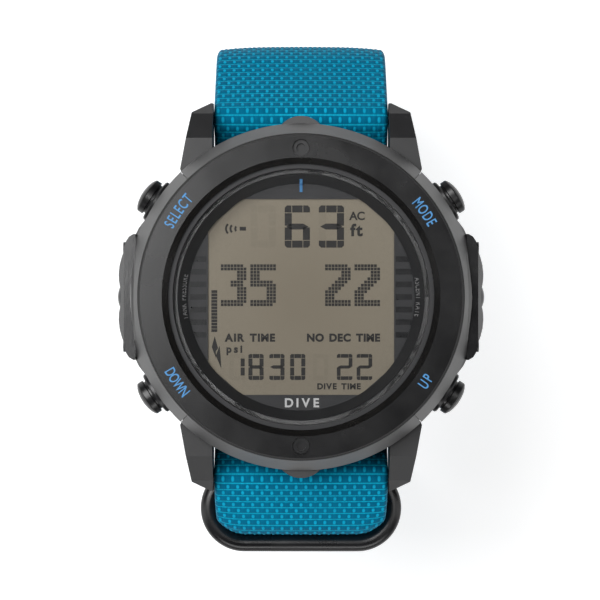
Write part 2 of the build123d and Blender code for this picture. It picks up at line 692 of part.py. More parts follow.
with BuildPart() as buckle_frame:
    with BuildSketch(frame_plane.offset(-1.1)):
        with Locations((0, 5.0)):
            RectangleRounded(2 * hardware_half, 13.4, 3.2)
        with Locations((0, 3.1)):
            RectangleRounded(24.0, 12.0, 1.2, mode=Mode.SUBTRACT)
        with Locations((0, -2.2)):
            Rectangle(24.0, 4, mode=Mode.SUBTRACT)
    extrude(amount=2.2)
    fillet(buckle_frame.edges().filter_by(Axis.X), radius=0.8)
    bar_along(Plane(origin=(0, near_bar_y, near_bar_z), z_dir=(1, 0, 0)), -13.6, 13.6, near_bar_r,
              mode=Mode.SUBTRACT)
    # notch for the tip of the tongue
    with BuildSketch(Plane.XY.offset(-1)):
        with Locations((0, -15.6)):
            Rectangle(3.2, 5)
    extrude(amount=2.75, mode=Mode.SUBTRACT)
write(buckle_frame.part, "buckle_frame")

with BuildPart() as buckle_pin:
    bar_along(Plane(origin=(0, near_bar_y, near_bar_z), z_dir=(1, 0, 0)), -13.6, 13.6, near_bar_r)
write(buckle_pin.part, "buckle_pin")

with BuildPart() as buckle_tongue:
    with BuildSketch(Plane.YZ):
        with BuildLine():
            FilletPolyline((near_bar_y, near_bar_z), (-11.8, 1.4), (-16.6, 0.72), radius=3)
        trace(line_width=1.2)
    extrude(amount=1.2, both=True)
    bar_along(Plane(origin=(0, near_bar_y, near_bar_z), z_dir=(1, 0, 0)), -1.7, 1.7, 1.95)
    bar_along(Plane(origin=(0, near_bar_y, near_bar_z), z_dir=(1, 0, 0)), -2, 2, near_bar_r + 0.05,
              mode=Mode.SUBTRACT)
write(buckle_tongue.part, "buckle_tongue")

for y, name in ((keeper_y, "keeper_fixed"), (slider_y, "keeper_sliding")):
    with BuildPart() as keeper:
        with BuildSketch(Plane.XZ.offset(-y - 1.0)):
            with Locations((0, 3.45)):
                RectangleRounded(2 * hardware_half, 6.9, 1.6)
                RectangleRounded(24.0, 3.3, 0.5, mode=Mode.SUBTRACT)
        extrude(amount=2.0)
        fillet(keeper.edges().filter_by(Axis.X).group_by(Axis.Z)[-1], radius=0.5)
    write(keeper.part, name)
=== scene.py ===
"""Looks of the wrist dive computer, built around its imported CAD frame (metres, dial +Z, 12 o'clock +Y)."""

import math

import bpy
import bmesh
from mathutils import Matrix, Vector


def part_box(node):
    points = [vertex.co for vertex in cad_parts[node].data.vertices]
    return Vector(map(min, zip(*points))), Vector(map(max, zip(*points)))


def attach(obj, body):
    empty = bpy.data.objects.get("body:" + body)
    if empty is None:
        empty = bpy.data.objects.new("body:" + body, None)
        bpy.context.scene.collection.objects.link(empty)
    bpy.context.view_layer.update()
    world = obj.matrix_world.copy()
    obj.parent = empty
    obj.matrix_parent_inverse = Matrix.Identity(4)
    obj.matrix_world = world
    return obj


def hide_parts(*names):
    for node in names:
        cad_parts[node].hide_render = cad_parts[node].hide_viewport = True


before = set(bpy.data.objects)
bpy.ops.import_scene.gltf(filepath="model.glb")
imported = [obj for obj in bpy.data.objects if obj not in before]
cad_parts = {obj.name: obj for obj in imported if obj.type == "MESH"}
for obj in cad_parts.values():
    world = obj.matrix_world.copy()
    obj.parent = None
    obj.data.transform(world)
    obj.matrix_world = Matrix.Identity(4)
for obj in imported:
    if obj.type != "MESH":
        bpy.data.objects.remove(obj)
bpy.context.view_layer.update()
scene = bpy.context.scene
scene.view_settings.view_transform = "Standard"

MM = 0.001


# ---------------------------------------------------------------- camera, floor and light
def make_camera():
    """Straight down onto the dial, from the distance whose perspective narrows the strap as it curves."""
    sensor, lens = 36, 140.7
    shift_x, shift_y = -0.14 * MM, -0.41 * MM
    height = 311 * MM
    data = bpy.data.cameras.new("camera")
    data.sensor_width = sensor
    data.lens = lens
    data.clip_start = 0.01
    cam = bpy.data.objects.new("camera", data)
    cam.location = (shift_x, shift_y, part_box("bezel")[1].z + height)
    scene.collection.objects.link(cam)
    scene.camera = cam


def make_world():
    """Faint even light from all round."""
    world = bpy.data.worlds.new("studio")
    world.use_nodes = True
    back = world.node_tree.nodes["Background"]
    back.inputs["Color"].default_value = (1, 1, 1, 1)
    back.inputs["Strength"].default_value = 0.03
    scene.world = world


def make_floor():
    """Plain pale floor that glows where it is seen from straight above, and hardly at a slant."""
    half, tone = 3.0, 0.66
    glow_above, glow_slant, slant = 0.62, 0.05, 0.25
    corners = [(-half, -half, 0), (half, -half, 0), (half, half, 0), (-half, half, 0)]
    mesh = bpy.data.meshes.new("floor")
    mesh.from_pydata(corners, [], [(0, 1, 2, 3)])
    floor = bpy.data.objects.new("floor", mesh)
    scene.collection.objects.link(floor)
    mat = bpy.data.materials.new("floor")
    mat.use_nodes = True
    bsdf = mat.node_tree.nodes["Principled BSDF"]
    bsdf.inputs["Base Color"].default_value = (tone, tone, tone, 1)
    bsdf.inputs["Roughness"].default_value = 0.9
    bsdf.inputs["Specular IOR Level"].default_value = 0.1
    bsdf.inputs["Emission Color"].default_value = (1, 1, 1, 1)
    facing = mat.node_tree.nodes.new("ShaderNodeLayerWeight")
    glow = mat.node_tree.nodes.new("ShaderNodeMapRange")
    glow.inputs["From Min"].default_value = 0.0
    glow.inputs["From Max"].default_value = slant
    glow.inputs["To Min"].default_value = glow_above
    glow.inputs["To Max"].default_value = glow_slant
    mat.node_tree.links.new(facing.outputs["Facing"], glow.inputs["Value"])
    mat.node_tree.links.new(glow.outputs["Result"], bsdf.inputs["Emission Strength"])
    mesh.materials.append(mat)


def area_light(name, place, target, size, power):
    data = bpy.data.lights.new(name, "AREA")
    data.shape = "RECTANGLE"
    data.size, data.size_y = size
    data.energy = power
    light = bpy.data.objects.new(name, data)
    light.location = place
    light.rotation_euler = (Vector(target) - Vector(place)).to_track_quat("-Z", "Y").to_euler()
    scene.collection.objects.link(light)


def make_lights():
    """Soft panels: a key over the upper left, a weak one over the right, a low fill and two rims."""
    dial = (0, 0, 0.06)
    area_light("key", (-0.275, 0.20, 0.56), (-0.275, 0.20, 0), (0.44, 0.44), 4.1)
    area_light("soft_right", (0.27, 0.02, 0.56), (0.27, 0.02, 0), (0.30, 0.40), 0.60)
    area_light("fill_low", (0.02, -0.55, 0.34), dial, (0.80, 0.24), 1.6)
    area_light("rim_right", (0.62, -0.10, 0.30), dial, (0.30, 0.60), 0.6)
    area_light("rim_left", (-0.62, -0.15, 0.24), dial, (0.24, 0.60), 0.6)


# ---------------------------------------------------------------- materials
class Shader:
    """Small helper around one material's nodes."""

    def __init__(self, name):
        self.mat = bpy.data.materials.new(name)
        self.mat.use_nodes = True
        self.tree = self.mat.node_tree
        self.bsdf = self.tree.nodes["Principled BSDF"]
        self.coords = self.tree.nodes.new("ShaderNodeTexCoord")

    def set(self, **values):
        for key, value in values.items():
            self.bsdf.inputs[key.replace("_", " ")].default_value = value

    def link(self, a, b):
        self.tree.links.new(a, b)

    def node(self, kind, **props):
        n = self.tree.nodes.new(kind)
        for key, value in props.items():
            setattr(n, key, value)
        return n

    def noise(self, scale, detail=3.0, rough=0.55, vector=None, stretch=None):
        n = self.node("ShaderNodeTexNoise")
        n.inputs["Scale"].default_value = scale
        n.inputs["Detail"].default_value = detail
        n.inputs["Roughness"].default_value = rough
        source = vector or self.coords.outputs["Object"]
        if stretch:
            m = self.node("ShaderNodeMapping")
            m.inputs["Scale"].default_value = stretch
            self.link(source, m.inputs["Vector"])
            source = m.outputs["Vector"]
        self.link(source, n.inputs["Vector"])
        return n.outputs["Fac"]

    def ramp(self, fac, stops):
        """Colour or grey ramp from (position, value) stops."""
        n = self.node("ShaderNodeValToRGB")
        ramp = n.color_ramp
        while len(ramp.elements) < len(stops):
            ramp.elements.new(0.5)
        for element, (position, value) in zip(ramp.elements, stops):
            element.position = position
            element.color = (*value, 1) if isinstance(value, tuple) else (value, value, value, 1)
        self.link(fac, n.inputs["Fac"])
        return n.outputs["Color"]

    def mix(self, fac, a, b):
        n = self.node("ShaderNodeMix", data_type="RGBA")
        self.link(fac, n.inputs["Factor"])
        for value, socket in ((a, n.inputs[6]), (b, n.inputs[7])):
            if isinstance(value, tuple):
                socket.default_value = (*value, 1)
            else:
                self.link(value, socket)
        return n.outputs[2]

    def math(self, operation, a, b=0.0, c=0.0):
        n = self.node("ShaderNodeMath", operation=operation)
        for value, socket in zip((a, b, c), n.inputs):
            if isinstance(value, (int, float)):
                socket.default_value = value
            else:
                self.link(value, socket)
        return n.outputs[0]

    def bump(self, height, distance, strength=1.0, normal=None):
        n = self.node("ShaderNodeBump")
        n.inputs["Distance"].default_value = distance
        n.inputs["Strength"].default_value = strength
        self.link(height, n.inputs["Height"])
        if normal:
            self.link(normal, n.inputs["Normal"])
        self.link(n.outputs["Normal"], self.bsdf.inputs["Normal"])
        return n.outputs["Normal"]

    def axis_distance(self):
        """Distance from the dial's axis."""
        sep = self.node("ShaderNodeSeparateXYZ")
        self.link(self.coords.outputs["Object"], sep.inputs[0])
        x2 = self.math("MULTIPLY", sep.outputs[0], sep.outputs[0])
        y2 = self.math("MULTIPLY", sep.outputs[1], sep.outputs[1])
        return self.math("SQRT", self.math("ADD", x2, y2))

    def scuffs(self, low, high, strength):
        """Share of sparse small scuffs, which noise above low begins and above high completes."""
        patches = self.ramp(self.noise(420, 5, 0.7), [(low, 0.0), (high, 1.0)])
        return self.math("MULTIPLY", patches, strength)

    def color(self, socket):
        self.link(socket, self.bsdf.inputs["Base Color"])

    def roughness(self, socket):
        self.link(socket, self.bsdf.inputs["Roughness"])


def scaled(color, factor):
    return tuple(min(1, c * factor) for c in color)


def coated_steel(name, base, rough, wear=0.25, satin_z=None):
    """Bead-blasted steel with a hard black coating: fine grain, soft smudges and sparse scuffs.

    Above satin_z the coating is brushed to a brighter satin."""
    dull, satin = 0.28, 1.0
    band = 0.6 * MM
    bared = (0.16, 0.16, 0.165)
    s = Shader(name)
    s.set(IOR=1.8, Metallic=0.0, Specular_IOR_Level=dull)
    if satin_z:
        sep = s.node("ShaderNodeSeparateXYZ")
        s.link(s.coords.outputs["Object"], sep.inputs[0])
        step = s.math("MULTIPLY", s.math("SUBTRACT", sep.outputs[2], satin_z - band / 2), 1 / band)
        s.link(s.ramp(step, [(0.0, dull), (1.0, satin)]), s.bsdf.inputs["Specular IOR Level"])
    smudge = s.noise(160, 4)
    speck = s.ramp(s.noise(900, 5, 0.7), [(0.45, 0.35), (0.65, 1.0)])
    tone = s.mix(smudge, scaled(base, 0.8), scaled(base, 1.25))
    s.color(s.mix(s.math("MULTIPLY", s.scuffs(0.64, 0.76, wear), speck), tone, bared))
    s.roughness(s.ramp(smudge, [(0.3, rough - 0.05), (0.7, rough + 0.06)]))
    s.bump(s.noise(2600, 2), 0.02 * MM, 0.35)
    return s.mat


def turned_steel(name, base, rough):
    """Coated steel with very fine circular turning marks around the dial's axis."""
    bared = (0.2, 0.2, 0.205)
    s = Shader(name)
    s.set(IOR=1.55, Metallic=0.0)
    ring = s.node("ShaderNodeCombineXYZ")
    s.link(s.axis_distance(), ring.inputs[0])
    marks = s.noise(9000, 2, 0.6, vector=ring.outputs[0])
    smudge = s.noise(140, 4)
    tone = s.mix(smudge, scaled(base, 0.85), scaled(base, 1.2))
    s.color(s.mix(s.scuffs(0.66, 0.78, 0.12), tone, bared))
    s.roughness(s.ramp(smudge, [(0.3, rough - 0.04), (0.7, rough + 0.05)]))
    grain = s.bump(s.noise(2600, 2), 0.01 * MM, 0.08)
    s.bump(marks, 0.01 * MM, 0.05, normal=grain)
    return s.mat


def bare_steel(name, base=(0.55, 0.55, 0.56), rough=0.32):
    """Uncoated metal with a brushed finish and faint blotches."""
    s = Shader(name)
    s.set(Metallic=1.0)
    lines = s.noise(1500, 3, 0.6, stretch=(1, 18, 1))
    blot = s.noise(120, 4)
    s.color(s.mix(blot, scaled(base, 0.85), base))
    s.roughness(s.ramp(lines, [(0.3, rough - 0.08), (0.7, rough + 0.12)]))
    s.bump(lines, 0.02 * MM, 0.4)
    return s.mat


def moulded(name, base, rough):
    """Moulded plastic or rubber with a fine grain."""
    s = Shader(name)
    blot = s.noise(200, 4)
    s.color(s.mix(blot, scaled(base, 0.8), scaled(base, 1.2)))
    s.roughness(s.ramp(blot, [(0.3, rough - 0.06), (0.7, rough + 0.08)]))
    s.bump(s.noise(1800, 3), 0.03 * MM, 0.35)
    return s.mat


def printed(name, base, rough=0.5):
    """Ink of a printed mark, slightly uneven."""
    s = Shader(name)
    uneven = s.noise(1400, 3)
    s.color(s.mix(uneven, scaled(base, 0.85), scaled(base, 1.1)))
    s.roughness(s.ramp(uneven, [(0.3, rough - 0.08), (0.7, rough + 0.08)]))
    s.bump(uneven, 0.01 * MM, 0.3)
    return s.mat


def clear_glass(name):
    """Crystal: nearly clear, so the dial shows through it, with faint smears."""
    s = Shader(name)
    s.set(Base_Color=(0.02, 0.022, 0.025, 1), IOR=1.5, Alpha=0.10)
    s.roughness(s.ramp(s.noise(60, 4), [(0.35, 0.02), (0.75, 0.06)]))
    s.bump(s.noise(40, 2), 0.01 * MM, 0.05)
    s.mat.blend_method = "BLEND"
    return s.mat


def display_film(name, shade=1.0):
    """Reflective liquid-crystal panel: warm grey, a little lighter towards its rim, with a fine haze."""
    s = Shader(name)
    centre = scaled((0.235, 0.200, 0.143), shade)
    rim = scaled((0.300, 0.262, 0.195), shade)
    tone = s.ramp(s.math("MULTIPLY", s.axis_distance(), 60), [(0.15, centre), (0.95, rim)])
    haze = s.noise(2600, 2)
    s.color(s.mix(haze, s.mix(haze, centre, tone), tone))
    s.roughness(s.ramp(haze, [(0.3, 0.42), (0.7, 0.55)]))
    s.bump(haze, 0.01 * MM, 0.2)
    return s.mat


WARP = 0.67    # across the strap: pitch of the warp yarns, mm
WEFT = 1.02    # along the strap: pitch of the weft bars, mm


def webbing(name):
    """Coarse woven nylon, with painted shade in the cracks between the yarns and painted highlights on the
    warp ties and along the valleys between the weft bars. The UV map holds millimetres across and along the
    strap.
    """
    # gap is painted shade for the dark cracks between the yarns
    gap, deep = (0.0005, 0.05, 0.10), (0.003, 0.20, 0.33)
    # Painted highlight colour for the valleys between the weft bars
    painted_highlight = (0.008, 0.50, 0.74)
    s = Shader(name)
    uv = s.coords.outputs["UV"]
    sep = s.node("ShaderNodeSeparateXYZ")
    s.link(uv, sep.inputs[0])
    cu = s.math("COSINE", s.math("MULTIPLY", sep.outputs[0], math.pi / WARP))
    cv = s.math("COSINE", s.math("MULTIPLY", sep.outputs[1], math.pi / WEFT))
    # 0 over a warp tie, 1 over a weft bar
    over = s.math("MULTIPLY_ADD", s.math("MULTIPLY", cu, cv), 0.5, 0.5)
    fibre = s.noise(1.0, 3, 0.6, vector=uv, stretch=(3.0, 16.0, 1.0))
    twist = s.noise(1.0, 3, 0.6, vector=uv, stretch=(16.0, 3.0, 1.0))
    # The raised warp ties are painted lighter than the weft bars, a painted highlight
    tie = s.mix(twist, (0.002, 0.30, 0.52), (0.008, 0.50, 0.76))
    bar = s.mix(fibre, (0.001, 0.085, 0.17), (0.002, 0.18, 0.33))
    yarn = s.mix(s.ramp(over, [(0.12, 0.0), (0.28, 1.0)]), tie, bar)
    # Painted shade: darker where two warp yarns meet
    beside = s.ramp(s.math("ABSOLUTE", cu), [(0.0, 0.55), (0.22, 1.0)])
    # Painted highlight: bright dashed lines along the valleys between the weft bars
    line = s.ramp(s.math("ABSOLUTE", cv), [(0.08, 1.0), (0.34, 0.0)])
    painted_highlight_dashes = s.math("MULTIPLY", line, s.ramp(twist, [(0.40, 0.55), (0.55, 1.0)]))
    woven = s.mix(painted_highlight_dashes, s.mix(beside, gap, yarn), painted_highlight)
    soiled = s.ramp(s.noise(180, 4), [(0.35, 0.0), (0.75, 0.35)])
    s.color(s.mix(soiled, woven, deep))
    s.roughness(s.ramp(fibre, [(0.3, 0.42), (0.7, 0.62)]))
    s.set(Specular_IOR_Level=0.06, Specular_Tint=(0.2, 0.75, 1.0, 1))
    s.bump(s.math("ADD", s.math("MULTIPLY", fibre, over), twist), 0.06 * MM, 0.6)
    return s.mat


def thread(name):
    """Sewing thread, with a fine twist."""
    s = Shader(name)
    twist = s.noise(3000, 3)
    s.color(s.mix(twist, (0.003, 0.16, 0.27), (0.01, 0.30, 0.45)))
    s.roughness(s.ramp(twist, [(0.3, 0.5), (0.7, 0.7)]))
    s.bump(twist, 0.04 * MM, 0.6)
    return s.mat


# ---------------------------------------------------------------- mesh helpers
def link_mesh(name, verts, faces, mat, body, smooth=True):
    mesh = bpy.data.meshes.new(name)
    mesh.from_pydata(verts, [], faces)
    mesh.validate()
    mesh.update()
    obj = bpy.data.objects.new(name, mesh)
    scene.collection.objects.link(obj)
    mesh.materials.append(mat)
    if smooth:
        mesh.polygons.foreach_set("use_smooth", [True] * len(mesh.polygons))
    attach(obj, body)
    return obj


class Plates:
    """Collects thin flat plates, given as outlines in millimetres, into one mesh."""

    def __init__(self, low, high):
        self.low, self.high = low, high
        self.verts, self.faces = [], []

    def add(self, outline):
        n = len(outline)
        base = len(self.verts)
        for z in (self.low, self.high):
            self.verts += [(x * MM, y * MM, z) for x, y in outline]
        self.faces.append(tuple(base + n + k for k in range(n)))
        self.faces.append(tuple(base + k for k in reversed(range(n))))
        for k in range(n):
            j = (k + 1) % n
            self.faces.append((base + k, base + j, base + n + j, base + n + k))

    def rect(self, x0, y0, x1, y1):
        self.add([(x0, y0), (x1, y0), (x1, y1), (x0, y1)])

    def build(self, name, mat, body="case"):
        return link_mesh(name, self.verts, self.faces, mat, body, smooth=False)


CAP_SHARE = 0.70    # height of a capital as a share of the font's size


def letters(name, text, cap, bold, z, mat, spots, thick=0.02, squeeze=1.0):
    """Raised letters as one mesh. spots gives each letter's centre (mm) and turn (degrees)."""
    verts, faces = [], []
    for char, ((x, y), turn) in zip(text, spots):
        if char == " ":
            continue
        curve = bpy.data.curves.new("glyph", "FONT")
        curve.body = char
        curve.size = cap / CAP_SHARE * MM
        curve.offset = bold * MM
        curve.extrude = thick * MM
        curve.resolution_u = 6
        curve.align_x = "CENTER"
        glyph = bpy.data.objects.new("glyph", curve)
        scene.collection.objects.link(glyph)
        bpy.context.view_layer.update()
        graph = bpy.context.evaluated_depsgraph_get()
        mesh = bpy.data.meshes.new_from_object(glyph.evaluated_get(graph))
        a = math.radians(turn)
        base = len(verts)
        for v in mesh.vertices:
            lx, ly = v.co.x * squeeze, v.co.y - cap * MM / 2
            verts.append((x * MM + lx * math.cos(a) - ly * math.sin(a),
                          y * MM + lx * math.sin(a) + ly * math.cos(a), z + v.co.z))
        faces += [tuple(base + i for i in p.vertices) for p in mesh.polygons]
        bpy.data.objects.remove(glyph)
    obj = link_mesh(name, verts, faces, mat, "case", smooth=False)
    bm = bmesh.new()
    bm.from_mesh(obj.data)
    bmesh.ops.remove_doubles(bm, verts=bm.verts, dist=1e-7)
    bm.to_mesh(obj.data)
    bm.free()
    return obj


def glyph_width(char, cap, bold, squeeze):
    """Width of a letter in mm. A space is 0.8 of the letter n."""
    curve = bpy.data.curves.new("glyph", "FONT")
    curve.body = char if char != " " else "n"
    curve.size = cap / CAP_SHARE * MM
    glyph = bpy.data.objects.new("glyph", curve)
    scene.collection.objects.link(glyph)
    bpy.context.view_layer.update()
    width = (glyph.dimensions.x / MM + 2 * bold) * squeeze
    bpy.data.objects.remove(glyph)
    return width * (0.8 if char == " " else 1.0)


def spread(text, cap, bold, width, squeeze=1.0):
    """Centres of the letters along a line of the given width, from its middle."""
    widths = [glyph_width(c, cap, bold, squeeze) for c in text]
    gap = (width - sum(widths)) / max(1, len(text) - 1)
    centres, x = [], -width / 2
    for w in widths:
        centres.append(x + w / 2)
        x += w + gap
    return centres


def line_text(name, text, cap, bold, z, mat, centre, width):
    """Letters along a straight line."""
    spots = [((centre[0] + dx, centre[1]), 0) for dx in spread(text, cap, bold, width)]
    return letters(name, text, cap, bold, z, mat, spots)


def arc_text(name, text, cap, bold, z, mat, radius, start, end, tops_out=True, thick=0.02, squeeze=0.64):
    """Letters around the dial from one clock angle to another (degrees from +X, counter-clockwise)."""
    span = radius * math.radians(abs(end - start)) + cap * 0.6
    spots = []
    for d in spread(text, cap, bold, span, squeeze):
        f = d / span + 0.5
        a = start + (end - start) * f
        x, y = radius * math.cos(math.radians(a)), radius * math.sin(math.radians(a))
        spots.append(((x, y), a - 90 if tops_out else a + 90))
    return letters(name, text, cap, bold, z, mat, spots, thick, squeeze)


# ---------------------------------------------------------------- strap
STRAP_T = 1.3         # thickness of the webbing, mm
STRAP_HALF = 11.95    # half its width
CLEARANCE = 0.15      # between the webbing and what it wraps or lies on


def fillet_path(route, step):
    """Points (y, z) and directions every step mm along straight runs joined by arcs."""
    pts = [Vector(p) for p, r in route]
    radii = [r for p, r in route]
    pieces = []
    cursor = pts[0]
    for k in range(1, len(pts) - 1):
        a = (pts[k - 1] - pts[k]).normalized()
        b = (pts[k + 1] - pts[k]).normalized()
        half = a.angle(b) / 2
        cut = radii[k] / math.tan(half)
        begin, finish = pts[k] + a * cut, pts[k] + b * cut
        centre = pts[k] + (a + b).normalized() * (radii[k] / math.sin(half))
        pieces.append(("run", cursor, begin))
        pieces.append(("arc", begin, finish, centre, radii[k]))
        cursor = finish
    pieces.append(("run", cursor, pts[-1]))
    dense = []
    for piece in pieces:
        if piece[0] == "run":
            a, b = piece[1], piece[2]
            n = max(1, int((b - a).length / step))
            dense += [a.lerp(b, i / n) for i in range(n)]
        else:
            a, b, c, r = piece[1:]
            t0 = math.atan2(a.y - c.y, a.x - c.x)
            t1 = math.atan2(b.y - c.y, b.x - c.x)
            turn = (t1 - t0 + math.pi) % (2 * math.pi) - math.pi
            n = max(3, int(abs(turn) * r / step))
            for i in range(n):
                angle = t0 + turn * i / n
                dense.append(c + Vector((math.cos(angle), math.sin(angle))) * r)
    dense.append(pts[-1])
    lengths = [0.0]
    for a, b in zip(dense, dense[1:]):
        lengths.append(lengths[-1] + (b - a).length)
    return dense, lengths


class Path:
    """A strap's middle line in the plane of y and z, read by distance along it."""

    def __init__(self, route):
        self.points, self.lengths = fillet_path(route, 0.05)
        self.length = self.lengths[-1]
        self.last = 0

    def at(self, s):
        """Point and direction at distance s. The direction is taken over a short stretch."""
        s = min(max(s, 0.0), self.length)
        k = self.last if self.lengths[self.last] <= s else 0
        while k < len(self.lengths) - 2 and self.lengths[k + 1] < s:
            k += 1
        self.last = k
        a, b = self.points[k], self.points[k + 1]
        gap = self.lengths[k + 1] - self.lengths[k]
        p = a.lerp(b, (s - self.lengths[k]) / gap if gap else 0)
        d = (self.points[min(k + 8, len(self.points) - 1)] - self.points[max(k - 7, 0)]).normalized()
        return p, d

    def nearest(self, y, z, low=0.0, high=None):
        """Distance along the path of the point nearest to (y, z)."""
        high = self.length if high is None else high
        best = min(
            (k for k in range(len(self.points)) if low <= self.lengths[k] <= high),
            key=lambda k: (self.points[k] - Vector((y, z))).length,
        )
        return self.lengths[best]


def wrap_corner(centre, radius, before, after, turn):
    """Corner whose fillet lies on a circle that the runs from before and to after both touch."""
    lines = []
    for point, way in ((before, turn), (after, -turn)):
        dy, dz = centre[0] - point[0], centre[1] - point[1]
        angle = math.atan2(dz, dy) + way * math.asin(radius / math.hypot(dy, dz))
        lines.append((point, (math.cos(angle), math.sin(angle))))
    (p, d), (q, e) = lines
    s = ((q[0] - p[0]) * e[1] - (q[1] - p[1]) * e[0]) / (d[0] * e[1] - d[1] * e[0])
    return (p[0] + s * d[0], p[1] + s * d[1])


def relief(u, v):
    """Height of the woven face, mm: bars across the strap, tied down by narrow warp yarns."""
    split, bar_rise, tie_rise = -0.2, 0.15, 0.17
    cell = math.cos(math.pi * u / WARP) * math.cos(math.pi * v / WEFT)
    if cell > split:
        return bar_rise * ((cell - split) / (1 - split)) ** 0.6
    return tie_rise * ((split - cell) / (1 + split)) ** 0.5


def inside_slot(u, v, hole):
    """Negative inside a long round-ended hole (v centre, length, width)."""
    centre, length, width = hole
    half = max(0.0, length / 2 - width / 2)
    dv = max(0.0, abs(v - centre) - half)
    return math.hypot(u, dv) - width / 2


def strap_rows(path, start, end, nu, nv, curl, narrow, crown, face):
    """Rows of (x, outer point, inner point, u, distance along the path), in mm."""
    rounding, sink, inner_sink = 0.55, 0.10, 0.06
    rows = []
    for j in range(nv + 1):
        s = start + (end - start) * j / nv
        p, d = path.at(s)
        normal = Vector((-d.y, d.x)) * face
        reach = narrow(s) if narrow else STRAP_HALF
        row = []
        for i in range(nu + 1):
            f = 2 * i / nu - 1
            u = f * STRAP_HALF
            x = f * reach
            edge = max(0.0, (abs(f) * STRAP_HALF - (STRAP_HALF - rounding)) / rounding)
            body = STRAP_T / 2 * math.sqrt(max(0.02, 1 - edge ** 2))
            fall = crown * f * f + (curl(s, x) if curl else 0.0)
            lift = relief(u, s) * (1 - edge) - sink
            inner_lift = relief(u, s + WEFT) * 0.6 * (1 - edge) - inner_sink
            outer = p + normal * (body + lift - fall)
            inner = p - normal * (body + inner_lift + fall)
            row.append((x, outer, inner, u, s))
        rows.append(row)
    return rows


def solid_cells(rows, holes):
    """Cells of the grid that hold cloth, which are all but those with their middle in a hole."""
    cells = set()
    for j in range(len(rows) - 1):
        for i in range(len(rows[0]) - 1):
            u = (rows[j][i][3] + rows[j][i + 1][3]) / 2
            v = (rows[j][i][4] + rows[j + 1][i][4]) / 2
            if all(inside_slot(u, v, hole) >= 0 for hole in holes):
                cells.add((i, j))
    return cells


def strap_faces(rows, cells, face):
    """Outer and inner quads of each cell, and a wall wherever the cloth ends."""
    count = len(rows[0])
    low = count * len(rows)
    faces = []
    for j in range(len(rows) - 1):
        for i in range(count - 1):
            if (i, j) not in cells:
                continue
            a, b = j * count + i, j * count + i + 1
            c, e = a + count, b + count
            quad = (a, b, e, c) if face == 1 else (a, c, e, b)
            faces.append(quad)
            faces.append(tuple(low + k for k in reversed(quad)))
            sides = (((i, j - 1), (b, a)), ((i, j + 1), (c, e)), ((i - 1, j), (a, c)), ((i + 1, j), (e, b)))
            for beside, (p0, p1) in sides:
                if beside not in cells:
                    wall = (p0, p1, low + p1, low + p0)
                    faces.append(wall if face == 1 else tuple(reversed(wall)))
    return faces


def round_holes(verts, rows, cells, holes, path):
    """Pushes the vertices on a hole's ragged rim out to its smooth outline."""
    count = len(rows[0])
    low = count * len(rows)
    for j, row in enumerate(rows):
        for i, point in enumerate(row):
            u, v = point[3:]
            if not any((i - a, j - b) in cells for a in (0, 1) for b in (0, 1)):
                continue
            for hole in holes:
                if inside_slot(u, v, hole) >= 0:
                    continue
                centre, length, width = hole
                straight = (length - width) / 2
                dv = v - centre - max(-straight, min(straight, v - centre))
                r = math.hypot(u, dv) or 1
                push = (width / 2 - r) / r
                way = path.at(v)[1]
                for vert in (verts[j * count + i], verts[low + j * count + i]):
                    vert[0] += u * push * MM
                    vert[1] += way.x * dv * push * MM
                    vert[2] += way.y * dv * push * MM


def strap_piece(name, path, start, end, mat, across, along,
                holes=(), curl=None, narrow=None, crown=0.12, face=1):
    """One stretch of woven strap as a closed mesh with real thickness.

    across and along are the grid's steps. curl(s, x) gives how far the strap turns inwards there,
    narrow(s) its half width, and face the side of the path that its outer face is on."""
    nu = int(2 * STRAP_HALF / across)
    nv = max(2, int((end - start) / along))
    rows = strap_rows(path, start, end, nu, nv, curl, narrow, crown, face)
    cells = solid_cells(rows, holes)
    verts, uvs = [], []
    for layer in (1, 2):
        for row in rows:
            for point in row:
                verts.append([point[0] * MM, point[layer].x * MM, point[layer].y * MM])
                uvs.append((point[3], point[4]))
    round_holes(verts, rows, cells, holes, path)
    obj = link_mesh(name, [tuple(v) for v in verts], strap_faces(rows, cells, face), mat, "case")
    layer = obj.data.uv_layers.new(name="strap_mm")
    for loop in obj.data.loops:
        layer.data[loop.index].uv = uvs[loop.vertex_index]
    bm = bmesh.new()
    bm.from_mesh(obj.data)
    loose = [v for v in bm.verts if not v.link_faces]
    bmesh.ops.delete(bm, geom=loose, context="VERTS")
    bm.to_mesh(obj.data)
    bm.free()
    return obj


def stitch_mesh(name, seams, mat):
    """Short round stitches along seams; each seam is a list of (centre, direction, normal) in mm."""
    verts, faces = [], []
    ring, stations = 6, (-0.55, -0.4, 0.0, 0.4, 0.55)
    thread_r, end_share, end_sink = 0.13, 0.35, 0.10
    last = len(stations) - 1
    for centre, way, normal in seams:
        side = way.cross(normal).normalized()
        base = len(verts)
        for t in stations:
            r = thread_r * (1.0 if abs(t) < stations[-1] else end_share)
            sink = end_sink * (t / stations[-1]) ** 2
            mid = centre + way * t - normal * sink
            for k in range(ring):
                a = 2 * math.pi * k / ring
                q = mid + (side * math.cos(a) + normal * math.sin(a)) * r
                verts.append(tuple(q * MM))
        for m in range(last):
            for k in range(ring):
                j = (k + 1) % ring
                near, far = base + m * ring, base + (m + 1) * ring
                faces.append((near + k, near + j, far + j, far + k))
        faces.append(tuple(base + k for k in reversed(range(ring))))
        faces.append(tuple(base + last * ring + k for k in range(ring)))
    return link_mesh(name, verts, faces, mat, "case")


